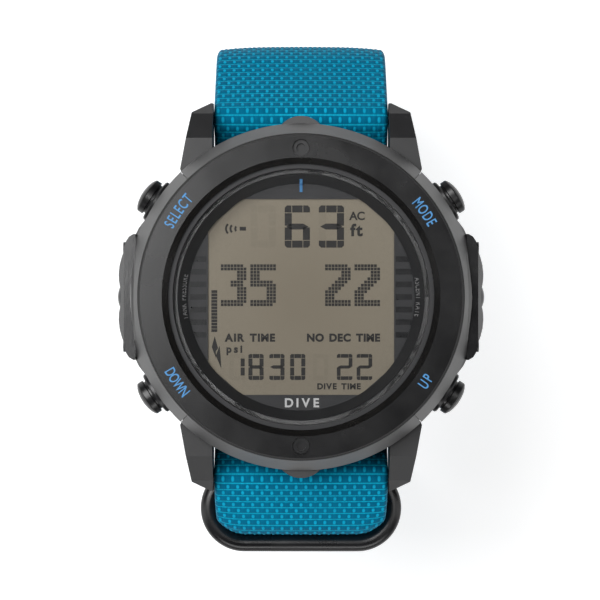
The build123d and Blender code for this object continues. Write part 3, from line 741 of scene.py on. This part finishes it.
def seam_on(path, s0, s1, x0, x1, face):
    """Stitches on a strap's face from (distance s0, x0) to (s1, x1)."""
    pitch, lift = 1.5, STRAP_T / 2 + 0.08
    length = math.hypot(s1 - s0, x1 - x0)
    count = max(1, round(length / pitch))
    out = []
    for k in range(count):
        f = (k + 0.5) / count
        p, d = path.at(s0 + (s1 - s0) * f)
        normal = Vector((-d.y, d.x)) * face
        p = p + normal * lift
        way = Vector((0, d.x, d.y)) * (s1 - s0) + Vector((1, 0, 0)) * (x1 - x0)
        centre = Vector((x0 + (x1 - x0) * f, p.x, p.y))
        out.append((centre, way.normalized(), Vector((0, normal.x, normal.y))))
    return out


def middle(node):
    """Centre (y, z) of a node's box and half its height, in mm."""
    low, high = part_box(node)
    return (low.y + high.y) / 2 / MM, (low.z + high.z) / 2 / MM, (high.z - low.z) / 2 / MM


PIN_Y, PIN_Z, PIN_R = middle("strap_pin_top")
BAR_Y, BAR_Z = middle("buckle_pin")[:2]
RING_Y, RING_Z, RING_BAR = middle("end_ring")
RING_HALF = (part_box("end_ring")[1].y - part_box("end_ring")[0].y) / 2 / MM
SIDE_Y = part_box("strap_main")[1].y / MM - STRAP_T / 2              # middle line beside 12 o'clock
RUN_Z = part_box("case_back")[0].z / MM - CLEARANCE - STRAP_T / 2    # middle line under the case
WRAP_R = PIN_R + CLEARANCE + STRAP_T / 2    # middle line round a bar between the lugs
HANG_Y = -32.6       # middle line beside 6 o'clock, inside the ring
INNER_Z = 4.15       # layer that the buckle's bar is sewn to
LAP_Z = 5.55         # sewn lap on top of that layer
LOOP_R = 1.75        # loop round the buckle's bar
TAIL_Z = 2.75        # tail, under the other layers
TAIL_END_Y = 21.0


def main_path():
    """Middle line of the main strap: the tail, up, round both lug bars, down, and the sewn lap."""
    hump_z = 7.7
    low_corner = wrap_corner((-PIN_Y, PIN_Z), WRAP_R, (-31.6, 50.6), (-17.9, RUN_Z), 1)
    top_corner = wrap_corner((PIN_Y, PIN_Z), WRAP_R, (17.9, RUN_Z), (32.0, 48.0), 1)
    return Path([
        ((TAIL_END_Y, TAIL_Z), 0), ((-6.5, TAIL_Z), 40), ((-15.5, 3.4), 30), ((-24.5, 5.2), 12),
        ((-32.8, 17.0), 18), ((HANG_Y, 38.0), 60), ((HANG_Y, 49.9), 3.2), (low_corner, WRAP_R),
        ((-17.9, RUN_Z), 4), ((17.9, RUN_Z), 4), (top_corner, WRAP_R),
        ((SIDE_Y, 43.0), 11), ((SIDE_Y, 15.5), 20), ((26.5, INNER_Z), 13),
        ((BAR_Y - LOOP_R, INNER_Z), 1.6), ((BAR_Y - LOOP_R, BAR_Z + LOOP_R), 1.6),
        ((-3.4, BAR_Z + LOOP_R), 2), ((-1.0, LAP_Z), 2), ((2.6, LAP_Z), 2), ((4.8, hump_z), 2),
        ((8.6, hump_z), 2), ((10.6, LAP_Z), 2), ((12.2, LAP_Z), 0),
    ])


def tail_narrow(s):
    """The tail's end is cut to a blunt point."""
    taper, tip_half = 4.6, 3.6
    if s > taper:
        return STRAP_HALF
    return tip_half + (STRAP_HALF - tip_half) * math.sqrt(max(0.0, 1 - ((taper - s) / taper) ** 2))


def tail_holes(path):
    """Four round-ended holes, and the slot that the tongue stands in."""
    pitch, first_y = 6.5, -4.5
    holes = [(TAIL_END_Y - (first_y + pitch * k), 4.4, 2.6) for k in range(4)]
    return holes + [(path.nearest(-10.9, 3.0, 0, 60), 9.8, 3.8)]


def make_main_strap(path, cloth):
    """The main strap in seven stretches. Gives the distance at which its sewn lap begins."""
    tip = path.nearest(-15.5, 3.4, 0, 60)
    at_ring = path.nearest(HANG_Y, RING_Z, 0, 110)
    low_side = path.nearest(HANG_Y, 37.0, 0, 110)
    under_a = path.nearest(-17.0, RUN_Z, low_side, 170)
    under_b = path.nearest(17.0, RUN_Z, low_side, 190)
    horizon = path.nearest(SIDE_Y, 30.0, under_b)
    back_low = path.nearest(SIDE_Y, 18.0, under_b)
    lap = path.nearest(BAR_Y + 3.0, INNER_Z, back_low, path.length - 20)
    loop = path.nearest(BAR_Y - LOOP_R, BAR_Z, back_low)
    bend_r = RING_HALF - 2 * RING_BAR
    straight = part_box("end_ring")[1].x / MM - RING_HALF

    def ring_curl(s, x):
        """The ring's round ends press the strap's edges inwards."""
        pull = math.exp(-((s - at_ring) / 5.5) ** 2)
        over = min(max(0.0, abs(x) - straight + 0.25), bend_r - 0.25)
        return pull * (bend_r - math.sqrt(bend_r ** 2 - over ** 2)) * 1.05

    def ring_narrow(s):
        """The strap is drawn in a little where it passes the ring."""
        return STRAP_HALF - 0.55 * math.exp(-((s - at_ring) / 6.0) ** 2)

    def top_curl(s, x):
        """The strap's edges turn in where it bends away on the 12 o'clock side."""
        return 0.75 * math.exp(-((s - horizon) / 12.0) ** 2) * (abs(x) / 11.7) ** 4

    parts = [
        strap_piece("strap_tail", path, 0, tip, cloth, 0.3, 0.3, holes=tail_holes(path),
                    narrow=tail_narrow, crown=0.0, face=-1),
        strap_piece("strap_low_front", path, tip, low_side, cloth, 0.2, 0.3, curl=ring_curl,
                    narrow=ring_narrow, face=-1),
        strap_piece("strap_front", path, low_side, under_a, cloth, 0.165, 0.22, curl=ring_curl,
                    narrow=ring_narrow),
        strap_piece("strap_under", path, under_a, under_b, cloth, 0.3, 0.3, crown=0.0),
        strap_piece("strap_back", path, under_b, back_low, cloth, 0.165, 0.25, curl=top_curl),
        strap_piece("strap_low_back", path, back_low, lap, cloth, 0.25, 0.3, curl=top_curl),
        strap_piece("strap_lap", path, lap, path.length, cloth, 0.3, 0.3, crown=0.0,
                    holes=[(loop, 10.5, 4.4)]),
    ]
    for part in parts:
        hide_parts("strap_main")
    return lap


def make_underlay(cloth):
    """The short second layer, whose loop holds the end ring. Gives its path."""
    under_z = RUN_Z - STRAP_T - CLEARANCE
    bar_y = RING_Y + RING_HALF - RING_BAR
    loop = RING_BAR + CLEARANCE + STRAP_T / 2
    fold = 1.4
    path = Path([
        ((SIDE_Y - fold, 33.0), 0), ((SIDE_Y - fold, 40.5), 9), ((20.0, under_z), 14),
        ((-18.5, under_z), 20), ((bar_y - loop, RING_Z + loop), 1.9),
        ((bar_y - loop, RING_Z - loop), 1.9), ((-23.3, RING_Z - loop), 1.5),
        ((-18.5, under_z - fold), 3), ((-11.0, under_z - fold), 0),
    ])
    bend = path.nearest(bar_y - loop, RING_Z)

    def loop_narrow(s):
        """The loop is drawn in between the ring's round ends."""
        f = min(1.0, max(0.0, 1.6 - abs(s - bend) / 6.0))
        return STRAP_HALF - 4.25 * f * f * (3 - 2 * f)

    woven = strap_piece("strap_underlay_woven", path, 0, path.length, cloth, 0.27, 0.3,
                        narrow=loop_narrow, crown=0.0, face=-1)
    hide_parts("strap_underlay")
    return path


def make_stitches(path, lap, under, sewn):
    """Seams across both ends of the lap, a crossed box on the underlay and two rows at its loop."""
    seams = []
    low_lap = path.nearest(1.0, LAP_Z, lap)
    for s in (path.length - 1.0, path.length - 2.4, low_lap - 1.2, low_lap + 1.6):
        seams += seam_on(path, s, s, -10.2, 10.2, 1)
    box_from, box_to, box_half = 1.2, 5.6, 10.0
    for s in (box_from, box_to):
        seams += seam_on(under, s, s, -box_half, box_half, 1)
    seams += seam_on(under, box_from, box_to, -box_half, box_half, 1)
    seams += seam_on(under, box_from, box_to, box_half, -box_half, 1)
    for s in (under.length - 1.2, under.length - 5.2):
        seams += seam_on(under, s, s, -7.0, 7.0, -1)
    stitch_mesh("strap_stitches", seams, sewn)


def make_strap(cloth, sewn):
    path = main_path()
    lap = make_main_strap(path, cloth)
    under = make_underlay(cloth)
    make_stitches(path, lap, under, sewn)


# ---------------------------------------------------------------- display
SEGMENTS = {
    "0": "abcdef", "1": "bc", "2": "abged", "3": "abgcd", "6": "afgedc", "8": "abcdefg",
}


def cut_bar(plates, x, w, level, inward, t, gap):
    """Top or bottom bar of a digit: two end blocks with a cut outer corner, and the run between them."""
    corner = t * 0.32
    inner = level + inward * t
    left = [(x, inner), (x + t - gap, inner), (x + t - gap, level), (x + corner, level),
            (x, level + inward * corner)]
    right = [(x + w, inner), (x + w - t + gap, inner), (x + w - t + gap, level), (x + w - corner, level),
             (x + w, level + inward * corner)]
    plates.add(left[::-inward])
    plates.rect(x + t + gap, min(inner, level), x + w - t - gap, max(inner, level))
    plates.add(right[::inward])


def seven_segment(plates, digit, x, y, w, h, t):
    """One digit with its lower left corner at (x, y): w wide, h high, with bars t thick and thin gaps."""
    gap = t * 0.045
    near = t * 0.12
    mid = y + h / 2
    on = SEGMENTS[digit]
    for key, level, inward in (("a", y + h, -1), ("d", y, 1)):
        if key in on:
            cut_bar(plates, x, w, level, inward, t, gap)
    upper, lower = (mid + near, y + h - t - 2 * gap), (y + t + 2 * gap, mid - near)
    for keys, (y0, y1) in (("fb", upper), ("ec", lower)):
        for key, x0 in zip(keys, (x, x + w - t)):
            if key in on:
                plates.rect(x0, y0, x0 + t, y1)
    if "g" in on:
        half, point = t * 0.42, t * 0.8
        x0, x1 = x + t * 0.18, x + w - t * 0.18
        plates.add([(x0, mid), (x0 + point, mid - half), (x1 - point, mid - half), (x1, mid),
                    (x1 - point, mid + half), (x0 + point, mid + half)])


DOT_DIGITS = {
    # first and last filled column of each of the thirteen rows, from the top
    "3": [(0, 6), (0, 7), (5, 7), (5, 7), (5, 7), (3, 6), (3, 6),
          (5, 7), (5, 7), (5, 7), (5, 7), (0, 7), (0, 6)],
    "5": [(0, 7), (0, 7), (0, 2), (0, 2), (0, 2), (0, 6), (0, 7),
          (5, 7), (5, 7), (5, 7), (5, 7), (0, 7), (0, 6)],
    "2": [(0, 6), (0, 7), (5, 7), (5, 7), (4, 7), (3, 6), (2, 5),
          (1, 4), (0, 3), (0, 2), (0, 2), (0, 7), (0, 7)],
}


DOT = 0.438                 # pitch of the dots, mm
BIG = (3.4, 5.7, 0.95)      # seven-segment digits: width, height and bar
SMALL = (2.05, 3.5, 0.55)
FINE = (2.1, 3.5, 0.5)
TOP_ROW_Y, LOW_ROW_Y = 6.65, -11.2
DOT_ROW_TOP = 4.43


def dot_digit(plates, digit, x):
    """One digit of the middle row, made of square dots."""
    gap = DOT * 0.07
    for row, (first, last) in enumerate(DOT_DIGITS[digit]):
        low, high = DOT_ROW_TOP - (row + 1) * DOT + gap, DOT_ROW_TOP - row * DOT - gap
        for column in range(first, last + 1):
            plates.rect(x + column * DOT + gap, low, x + (column + 1) * DOT - gap, high)


def tank_bar(plates):
    """Column of dots at the left, for the tank's pressure."""
    left, right, base, gap = -12.1, -11.3, -4.75, 0.03
    for k in range(13):
        plates.rect(left, base + DOT * k + gap, right, base + DOT * (k + 1) - gap)


def lightning_bolt(plates):
    plates.add([(-11.65, -5.3), (-12.05, -6.75), (-11.45, -8.35), (-11.5, -7.35), (-11.2, -6.9)])
    plates.add([(-11.0, -6.6), (-11.5, -7.9), (-10.75, -9.7), (-10.85, -8.0)])


def signal_sign(plates):
    """Three arcs and a dash."""
    middle_y, outward, inward, steps = 9.2, 0.16, 0.12, 8
    for radius, x, half_angle in ((0.85, -10.1, 46), (0.68, -9.5, 44), (0.46, -8.85, 42)):
        turns = [math.radians(180 - half_angle + 2 * half_angle * k / steps) for k in range(steps + 1)]
        arc = []
        for r, angles in ((radius + outward, turns), (radius - inward, reversed(turns))):
            arc += [(x + radius + r * math.cos(a), middle_y + r * math.sin(a)) for a in angles]
        plates.add(arc)
    plates.rect(-8.28, 8.95, -7.42, 9.47)


def make_display(ink, faint):
    """Dark marks on the display: three rows of digits, signs and words, and a few unlit segments."""
    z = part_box("lcd_panel")[1].z
    marks = Plates(z - 0.01 * MM, z + 0.012 * MM)
    for digit, x in (("6", -2.2), ("3", 2.4)):
        seven_segment(marks, digit, x, TOP_ROW_Y, *BIG)
    for digit, x in (("3", -10.85), ("5", -6.87), ("2", 3.22), ("2", 7.18)):
        dot_digit(marks, digit, x)
    for digit, x in (("8", -7.1), ("3", -4.28), ("0", -1.47), ("1", -9.65)):
        seven_segment(marks, digit, x, LOW_ROW_Y, *SMALL)
    for x in (4.83, 7.5):
        seven_segment(marks, "2", x, LOW_ROW_Y, *FINE)
    tank_bar(marks)
    lightning_bolt(marks)
    signal_sign(marks)
    marks.build("lcd_segments", ink)
    for name, text, cap, bold, centre, width in (
        ("lcd_text_ac", "AC", 1.08, 0.045, (7.55, 10.95), 2.1),
        ("lcd_text_ft", "ft", 1.55, 0.09, (7.45, 9.05), 1.75),
        ("lcd_text_air", "AIR TIME", 0.98, 0.075, (-6.9, -5.48), 6.75),
        ("lcd_text_nodec", "NO DEC TIME", 0.98, 0.075, (5.72, -5.48), 9.85),
        ("lcd_text_psi", "psi", 0.98, 0.06, (-9.0, -7.0), 2.15),
        ("lcd_text_dive", "DIVE TIME", 0.76, 0.05, (5.1, -12.05), 5.85),
    ):
        line_text(name, text, cap, bold, z, ink, centre, width)
    ghost = Plates(z - 0.01 * MM, z + 0.004 * MM)
    for x in (-6.8, 2.4):
        seven_segment(ghost, "0", x, TOP_ROW_Y, *BIG)
    for x in (1.6, -9.65):
        seven_segment(ghost, "0", x, LOW_ROW_Y, *SMALL)
    ghost.build("lcd_ghost_segments", faint)


# ---------------------------------------------------------------- prints on the dial and the bezel
def bezel_labels(ink):
    """Names of the four buttons. The lower two have their tops towards the dial."""
    radius, cap, bold, thick = 19.95, 1.42, 0.02, 0.015
    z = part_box("bezel")[1].z
    for name, text, start, end, tops_out in (
        ("label_select", "SELECT", 151.9, 138.1, True),
        ("label_mode", "MODE", 39.9, 29.1, True),
        ("label_down", "DOWN", 208.9, 220.1, False),
        ("label_up", "UP", -36.2, -32.0, False),
    ):
        label = arc_text(name, text, cap, bold, z, ink, radius, start, end, tops_out, thick)


def dial_ticks(ink, z, ramp_low, ramp_high):
    """Blue mark at 12 o'clock, which runs on up the sloped ring."""
    half, inner, edge, outer = 0.19, 14.15, 15.2, 15.85
    tick = Plates(z - 0.02 * MM, z + 0.05 * MM)
    tick.rect(-half, inner, half, edge)
    tick.build("dial_tick", ink)
    notch = Plates(ramp_low, ramp_low + (ramp_high - ramp_low) * 0.55)
    notch.rect(-half, edge, half, outer)
    notch.build("flange_tick", ink)


def dial_ladders(ink, z):
    """Seven short bars on each side of the display."""
    inner, outer, pitch, half = 12.75, 14.95, 1.7, 0.38
    bars = Plates(z - 0.02 * MM, z + 0.04 * MM)
    for left, right in ((inner, outer), (-outer, -inner)):
        for k in range(-3, 4):
            bars.rect(left, k * pitch - half, right, k * pitch + half)
    bars.build("mask_ladder", ink)


def make_prints(blue, white, grey, ladder):
    bezel_labels(blue)
    mask_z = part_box("dial_mask")[1].z
    ramp_low, ramp_high = (corner.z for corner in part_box("flange_ring"))
    dial_ticks(blue, mask_z, ramp_low, ramp_high)
    dial_ladders(ladder, mask_z)
    line_text("mask_word", "DIVE", 1.15, 0.05, mask_z, white, (0.1, -14.25), 4.6)
    word_z = ramp_low + (ramp_high - ramp_low) * 0.62
    word_radius, word_cap = 15.85, 0.80
    for name, text, start, end in (
        ("flange_words_left", "TANK PRESSURE", 191, 169),
        ("flange_words_right", "ASCENT RATE", 9.5, -9.5),
    ):
        words = arc_text(name, text, word_cap, 0.005, word_z, grey, word_radius, start, end, True, 0.01)


# ---------------------------------------------------------------- finish of the CAD pieces
def finish_nodes():
    """Gives every CAD node its own finish."""
    dark, black, collar = (0.006, 0.006, 0.0065), (0.006, 0.006, 0.007), (0.008, 0.008, 0.009)
    satin_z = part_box("side_cover_left")[1].z + 0.4 * MM
    gaskets = "crystal_gasket case_back_gasket pusher_seals lcd_connector"
    screws = "bezel_screws side_cover_screws strap_pin_screws"
    hardware = "end_ring buckle_frame buckle_tongue keeper_fixed keeper_sliding"
    buttons = ("select", "mode", "down", "up")
    springs = " ".join(f"pusher_{part}_{button}" for part in ("spring", "clip") for button in buttons)
    finishes = {
        "bezel": turned_steel("bezel_finish", (0.0045, 0.0045, 0.005), 0.24),
        "mid_case": coated_steel("case_finish", dark, 0.33, satin_z=satin_z),
        "lug_frame_top lug_frame_bottom":
            coated_steel("lug_finish", (0.016, 0.016, 0.017), 0.42, satin_z=satin_z),
        "side_cover_left side_cover_right": coated_steel("cover_finish", black, 0.22),
        "pusher_select pusher_mode pusher_down pusher_up": coated_steel("button_finish", dark, 0.30),
        "pusher_tubes": coated_steel("collar_finish", collar, 0.34),
        screws: coated_steel("screw_finish", black, 0.30),
        hardware: coated_steel("hardware_finish", black, 0.28, wear=0.35),
        "case_back case_back_screws": bare_steel("back_finish"),
        "strap_pin_top strap_pin_bottom buckle_pin": coated_steel("pin_finish", collar, 0.3),
        "battery battery_clip pressure_sensor": bare_steel("cell_finish", (0.66, 0.66, 0.65), 0.3),
        "buzzer": bare_steel("buzzer_finish", (0.7, 0.55, 0.25), 0.3),
        "crystal": clear_glass("crystal_finish"),
        gaskets: moulded("gasket_finish", (0.022, 0.022, 0.024), 0.6),
        "flange_ring": moulded("flange_finish", (0.016, 0.016, 0.017), 0.5),
        "dial_mask": moulded("mask_finish", (0.028, 0.028, 0.030), 0.42),
        "lcd_panel": display_film("display_finish"),
        "lcd_backlight": moulded("light_guide_finish", (0.75, 0.75, 0.72), 0.5),
        "module_frame": moulded("module_finish", (0.05, 0.05, 0.05), 0.5),
        "circuit_board": moulded("board_finish", (0.02, 0.14, 0.06), 0.4),
        springs: bare_steel("spring_finish", (0.6, 0.6, 0.6), 0.25),
    }
    for names, mat in finishes.items():
        for name in names.split():
            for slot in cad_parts[name].material_slots:
                slot.material = mat


make_camera()
make_world()
make_floor()
make_lights()
finish_nodes()
make_strap(webbing("woven_blue"), thread("blue_thread"))
make_display(printed("lcd_ink", (0.010, 0.008, 0.006), 0.45), display_film("lcd_ghost", 0.93))
make_prints(
    blue=printed("blue_print", (0.06, 0.26, 0.56)),
    white=printed("white_print", (0.75, 0.75, 0.75)),
    grey=printed("grey_print", (0.22, 0.22, 0.22)),
    ladder=printed("ladder_print", (0.004, 0.004, 0.0045), 0.35),
)
